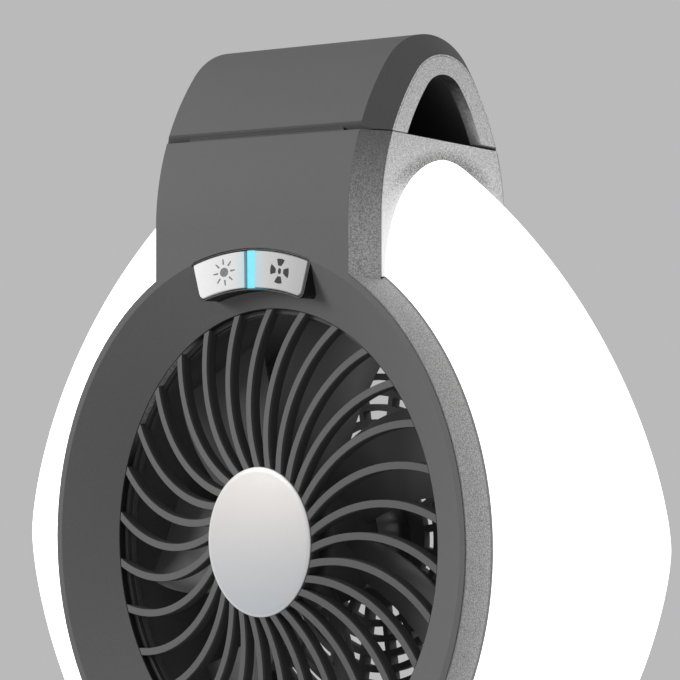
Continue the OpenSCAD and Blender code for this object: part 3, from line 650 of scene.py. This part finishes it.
# the cup's profile as (radius, depth)
def cupProfile():
    radius, nose, bend, bore = cup["radius"], cup["nose"], cup["round"], cup["bore"]
    out = [(bore, nose), (radius - bend - 0.3, nose)]
    for k in range(7):
        a = math.radians(15 * k)
        out.append((radius - bend + bend * math.sin(a), nose + bend - bend * math.cos(a)))
    inside = radius - cup["wall"]
    out += [(radius, cup["skirt"]), (inside, cup["skirt"]), (inside, cup["floor"])]
    out += [(cup["boss"], cup["floor"]), (cup["boss"], cup["bossEnd"]), (bore, cup["bossEnd"])]
    out.append((bore, nose))
    return [(r, blades["depth"] + depth) for r, depth in out]


def makeImpeller():
    shapes = []
    us = [i / blades["across"] - 0.5 for i in range(blades["across"] + 1)]
    for k in range(blades["count"]):
        turn = Matrix.Rotation(2 * math.pi * k / blades["count"], 3, "Y")
        rings = []
        for j in range(blades["stations"] + 1):
            f = j / blades["stations"]
            ring = [bladePoint(f, u, 1) for u in us] + [bladePoint(f, -u, -1) for u in us]
            rings.append([turn @ Vector(p) + Vector((0, 0, axisHeight)) for p in ring])
        shapes.append(loft(rings))
    shapes.append(lathe(cupProfile(), 96))
    verts, faces = gather(shapes)
    return newPiece("impellerMoulding", verts, faces, "glossyBlade", "rotor", ("impeller",),
                    40.0)


makeImpeller()
print("impeller made")

# the pearly disc: a low dome whose lip lies over the rim of the grille's hub
hubDisc = {"radius": 20.05, "seat": 18.9, "rise": 0.85, "front": 3.3, "behind": 3.57, "foot": 4.4}


def makeHubDisc():
    radius, front, behind = hubDisc["radius"], hubDisc["front"], hubDisc["behind"]
    profile = [(0.001, hubDisc["foot"]), (hubDisc["seat"], hubDisc["foot"]), (hubDisc["seat"], behind),
               (radius - 0.08, behind), (radius, behind - 0.08), (radius - 0.03, front + 0.1)]
    inner = radius - 0.15
    for k in range(16, -1, -1):
        x = inner * k / 16
        profile.append((max(x, 0.001), front - hubDisc["rise"] * (1 - (x / inner) ** 2)))
    verts, faces = lathe(profile)
    return newPiece("hubDisc", verts, faces, "pearlCap", "housing", ("hub_cap",),
                    60.0)


makeHubDisc()

# the two keys: sectors with rounded lower corners and a fine slanted edge
keys = {"inner": 67.8, "outer": 77.7, "halfAngle": 17.0, "gap": 1.416, "top": 0.5, "bottom": 1.9,
        "edge": 0.28, "back": 4.5}


def arcPoints(radius, start, end, steps):
    out = []
    for i in range(steps + 1):
        a = math.radians(start + (end - start) * i / steps)
        out.append(Vector((radius * math.sin(a), radius * math.cos(a))))
    return out


# rounds the corners of an outline by the radius given for each
def rounded(corners, steps=6):
    out = []
    count = len(corners)
    for i, (point, radius) in enumerate(corners):
        if not radius:
            out.append(Vector(point))
            continue
        before = (Vector(corners[i - 1][0]) - point).normalized()
        after = (Vector(corners[(i + 1) % count][0]) - point).normalized()
        angle = before.angle(after)
        reach = radius / math.tan(angle / 2)
        centre = point + (before + after).normalized() * (radius / math.sin(angle / 2))
        first, last = point + before * reach - centre, point + after * reach - centre
        turn = first.angle_signed(last)
        for k in range(steps + 1):
            out.append(centre + Matrix.Rotation(-turn * k / steps, 2) @ first)
    return out


def makeKey(side, name, node, body):
    inner, outer, half, gap = keys["inner"], keys["outer"], keys["halfAngle"], keys["gap"]
    corners = [(p, 0) for p in arcPoints(outer, gap, half, 16)]
    corners[-1] = (corners[-1][0], keys["top"])
    lower = [(p, 0) for p in arcPoints(inner, half, gap, 16)]
    lower[0] = (lower[0][0], keys["bottom"])
    # the arc's points next to a rounded corner make room for it
    outline = corners[:-2] + corners[-1:] + lower[:1] + lower[3:]
    points = [Vector((side * p.x, p.y)) for p in rounded(outline)]
    verts, faces = plate(points, 0.0, keys["back"], keys["edge"])
    return newPiece(name, verts, faces, "keyLight", body, (node,), 30.0)


makeKey(-1, "lightKeyCap", "light_key", "light_key")
makeKey(1, "fanKeyCap", "fan_key", "fan_key")

# the printed signs on the keys: a sun with eight rays, and a fan with four blades
signs = {"radius": 72.9, "sunAcross": -10.1, "fanAcross": 11.7, "proud": 0.06, "back": 0.1}
sun = {"disc": (1.6, 1.22), "rays": 8, "from": 2.1, "to": 3.6, "inner": 0.24, "outer": 0.14,
       "wider": 1.19}
fan = {"hub": (0.55, 0.8), "blades": 4, "flatter": 0.93,
       "blade": ((-0.72, 1.5), (-1.35, 3.3), (-0.6, 3.5), (0.4, 3.58), (1.55, 3.35), (1.1, 2.4),
                 (0.42, 1.5))}


# turns a flat sign so that its top points away from the fan's axis
def signPlace(across, flat):
    up = math.sqrt(signs["radius"] ** 2 - across ** 2)
    lean = math.atan2(across, up)
    turn = Matrix.Rotation(-lean, 2)
    return [turn @ Vector(p) + Vector((across, up)) for p in flat]


def ellipse(across, up, count):
    turns = [2 * math.pi * k / count for k in range(count)]
    return [(across * math.cos(a), up * math.sin(a)) for a in turns]


def printSign(name, shapes, across, finish, body):
    front, back = -signs["proud"], signs["back"]
    verts, faces = gather([plate(signPlace(across, shape), front, back) for shape in shapes])
    newPiece(name, verts, faces, finish, body)


def makeSun():
    shapes = [ellipse(*sun["disc"], 24)]
    inner, outer = sun["inner"], sun["outer"]
    ray = ((-inner, sun["from"]), (-outer, sun["to"]), (outer, sun["to"]), (inner, sun["from"]))
    for k in range(sun["rays"]):
        turn = Matrix.Rotation(2 * math.pi * k / sun["rays"], 2)
        turned = [turn @ Vector(p) for p in ray]
        shapes.append([(sun["wider"] * p[0], p[1]) for p in turned])
    printSign("sunSign", shapes, signs["sunAcross"], "sunInk", "light_key")


def makeFanSign():
    shapes = [ellipse(*fan["hub"], 18)]
    for k in range(fan["blades"]):
        turn = Matrix.Rotation(2 * math.pi * k / fan["blades"], 2)
        turned = [turn @ Vector(p) for p in fan["blade"]]
        shapes.append([(p[0], fan["flatter"] * p[1]) for p in turned])
    printSign("fanSign", shapes, signs["fanAcross"], "fanInk", "fan_key")


makeSun()
makeFanSign()
print("keys and signs made")

# the floor's half width and grey, the sky's level, the lamps' powers in watts, and where the
# floor starts and ends to fade into the backdrop
stageLook = {"half": 5.0, "floor": 186, "sky": 0.36, "key": 29.0, "fill": 7.0, "near": 0.4, "far": 1.0}


def makeStage():
    half = stageLook["half"]
    corners = [(-half, -half, 0), (half, -half, 0), (half, half, 0), (-half, half, 0)]
    mesh = bpy.data.meshes.new("floor")
    mesh.from_pydata(corners, [], [(0, 1, 2, 3)])
    floor = bpy.data.objects.new("floor", mesh)
    bpy.context.scene.collection.objects.link(floor)
    f = Finish("floorPaint")
    grain = f.noise(9.0, 4.0, 0.5)
    colour = f.mix(grain, shade(stageLook["floor"] - 3), shade(stageLook["floor"] + 3))
    paint = f.add("ShaderNodeBsdfPrincipled", {}, {"Base Color": colour, "Roughness": 0.8 + grain * 0.1})
    # far from the fan the floor fades into the backdrop's colour, so that no horizon shows
    backdrop = f.add("ShaderNodeEmission", {}, {0: shade(stageLook["floor"]) + (1.0,), 1: 1.0})
    away = (f.axis(0) * f.axis(0) + f.axis(1) * f.axis(1)) ** 0.5
    faded = away.ramp(stageLook["near"], stageLook["far"]) * f.add("ShaderNodeLightPath")
    mixed = f.add("ShaderNodeMixShader", {}, {0: faded, 1: paint, 2: backdrop})
    f.add("ShaderNodeOutputMaterial", {}, {0: mixed})
    mesh.materials.append(f.material)


# the camera, and what mirrors or passes light, see the backdrop instead of the sky's light
def makeWorld():
    world = bpy.data.worlds.new("studio")
    bpy.context.scene.world = world
    f = Finish("studio", world)
    shown = f.add("ShaderNodeLightPath", out="Is Camera Ray")
    for kind in ("Is Glossy Ray", "Is Transmission Ray"):
        shown = shown.math("MAXIMUM", f.add("ShaderNodeLightPath", out=kind))
    lit = f.add("ShaderNodeBackground", {}, {0: (1.0, 1.0, 1.0, 1.0), 1: stageLook["sky"]})
    seen = f.add("ShaderNodeBackground", {}, {0: shade(stageLook["floor"]) + (1.0,), 1: 1.0})
    mixed = f.add("ShaderNodeMixShader", {}, {0: shown, 1: lit, 2: seen})
    f.add("ShaderNodeOutputWorld", {}, {0: mixed})


def makeLamp(name, place, target, size, power):
    data = bpy.data.lights.new(name, "AREA")
    data.shape = "DISK"
    data.size = size
    data.energy = power
    lamp = bpy.data.objects.new(name, data)
    lamp.location = place
    lamp.rotation_mode = "QUATERNION"
    lamp.rotation_quaternion = (Vector(target) - Vector(place)).to_track_quat("-Z", "Y")
    bpy.context.scene.collection.objects.link(lamp)


makeStage()
makeWorld()
makeLamp("keyLamp", (-1.3, -1.4, 0.75), (0, 0, 0.13), 0.9, stageLook["key"])
makeLamp("fillLamp", (1.5, 0.9, 1.2), (0, 0, 0.13), 1.2, stageLook["fill"])

# seen from the right of the front, turned so that the ring sits low and left
view = {"yaw": 0.828155, "pitch": 0.035228, "roll": -0.000933, "distance": 1.00328,
        "aside": -0.024091, "raised": 0.053727, "lens": 199.197}


def makeCamera():
    yaw, pitch = view["yaw"], view["pitch"]
    off = Vector((math.sin(yaw) * math.cos(pitch), -math.cos(yaw) * math.cos(pitch), math.sin(pitch)))
    ahead = -off
    right = ahead.cross(Vector((0, 0, 1))).normalized()
    up = right.cross(ahead)
    pan = Matrix.Rotation(view["aside"], 3, up)
    ahead, right = pan @ ahead, pan @ right
    tilt = Matrix.Rotation(view["raised"], 3, right)
    ahead, up = tilt @ ahead, tilt @ up
    c, s = math.cos(view["roll"]), math.sin(view["roll"])
    right, up = right * c + up * s, up * c - right * s
    data = bpy.data.cameras.new("camera")
    data.lens = view["lens"]
    data.sensor_width = 36.0
    data.clip_start = 0.01
    camera = bpy.data.objects.new("camera", data)
    turn = Matrix((right, up, -ahead)).transposed()
    mouthMiddle = Vector((0, -halfDepth * mm, axisHeight * mm))
    camera.matrix_world = Matrix.Translation(mouthMiddle + off * view["distance"]) @ turn.to_4x4()
    bpy.context.scene.collection.objects.link(camera)
    bpy.context.scene.camera = camera


makeCamera()
bpy.context.scene.view_settings.view_transform = "Standard"
print("floor, light and camera ready")
